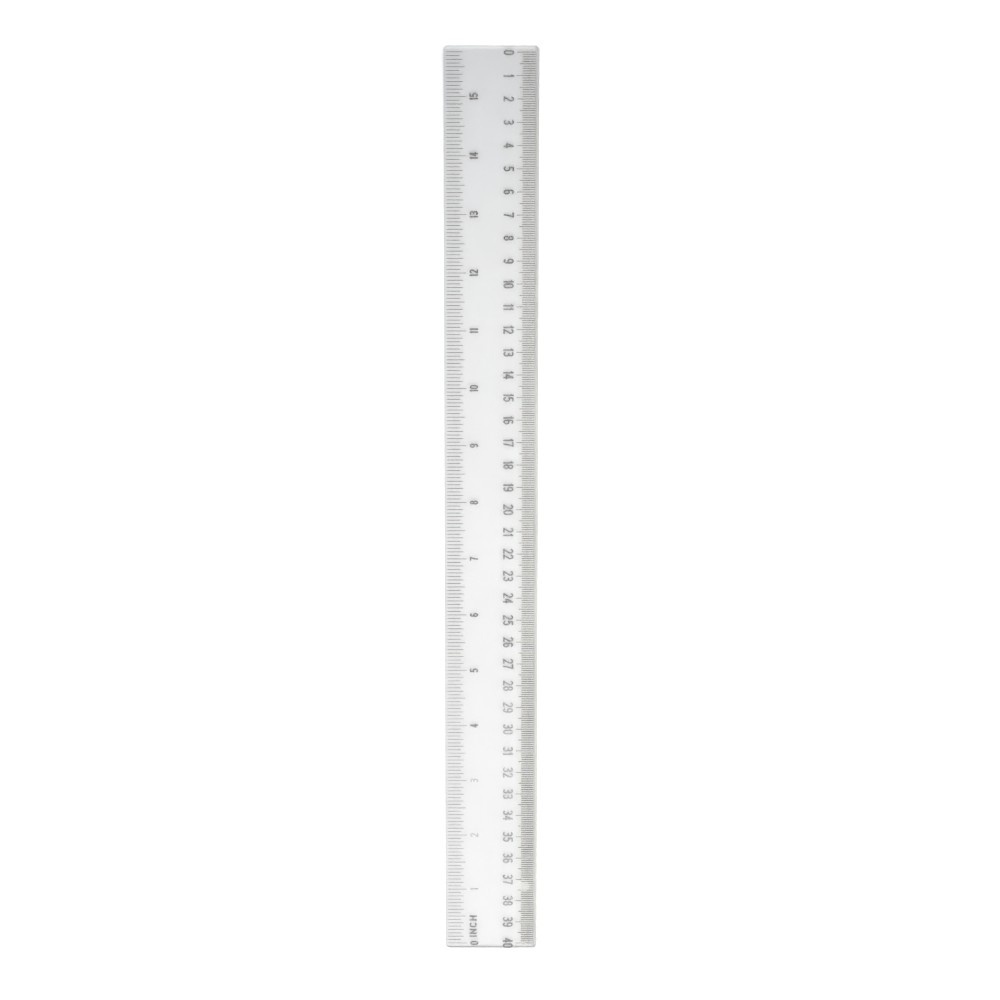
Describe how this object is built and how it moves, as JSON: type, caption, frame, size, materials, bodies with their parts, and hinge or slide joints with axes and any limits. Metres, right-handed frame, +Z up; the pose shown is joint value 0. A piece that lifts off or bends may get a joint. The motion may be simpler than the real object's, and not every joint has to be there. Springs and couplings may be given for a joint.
{
  "type": "ruler",
  "caption": "Clear flat plastic ruler with a printed centimetre scale along one edge and an inch scale along the other.",
  "frame": {"origin": "under the middle of the blade, on the surface it lies on", "axes": "+Z up out of the printed face; +Y along the blade towards centimetre zero; +X towards the centimetre edge, so -X is the inch edge"},
  "size_m": [0.04, 0.405, 0.0026],
  "materials": {
    "clear_plastic": "clear moulded acrylic or polystyrene, polished, faintly scratched",
    "printed_ink": "thin dark grey printed ink, slightly uneven"
  },
  "bodies": {
    "root": {"ruler_blade": "clear_plastic", "cm_line_00": "printed_ink", "cm_line_01": "printed_ink", "cm_line_02": "printed_ink", "cm_line_03": "printed_ink", "cm_line_04": "printed_ink", "cm_line_05": "printed_ink", "cm_line_06": "printed_ink", "cm_line_07": "printed_ink", "cm_line_08": "printed_ink", "cm_line_09": "printed_ink", "cm_line_10": "printed_ink", "cm_line_11": "printed_ink", "cm_line_12": "printed_ink", "cm_line_13": "printed_ink", "cm_line_14": "printed_ink", "cm_line_15": "printed_ink", "cm_line_16": "printed_ink", "cm_line_17": "printed_ink", "cm_line_18": "printed_ink", "cm_line_19": "printed_ink", "cm_line_20": "printed_ink", "cm_line_21": "printed_ink", "cm_line_22": "printed_ink", "cm_line_23": "printed_ink", "cm_line_24": "printed_ink", "cm_line_25": "printed_ink", "cm_line_26": "printed_ink", "cm_line_27": "printed_ink", "cm_line_28": "printed_ink", "cm_line_29": "printed_ink", "cm_line_30": "printed_ink", "cm_line_31": "printed_ink", "cm_line_32": "printed_ink", "cm_line_33": "printed_ink", "cm_line_34": "printed_ink", "cm_line_35": "printed_ink", "cm_line_36": "printed_ink", "cm_line_37": "printed_ink", "cm_line_38": "printed_ink", "cm_line_39": "printed_ink", "cm_line_40": "printed_ink", "inch_line_00": "printed_ink", "inch_line_01": "printed_ink", "inch_line_02": "printed_ink", "inch_line_03": "printed_ink", "inch_line_04": "printed_ink", "inch_line_05": "printed_ink", "inch_line_06": "printed_ink", "inch_line_07": "printed_ink", "inch_line_08": "printed_ink", "inch_line_09": "printed_ink", "inch_line_10": "printed_ink", "inch_line_11": "printed_ink", "inch_line_12": "printed_ink", "inch_line_13": "printed_ink", "inch_line_14": "printed_ink", "inch_line_15": "printed_ink"}
  },
  "joints": []
}
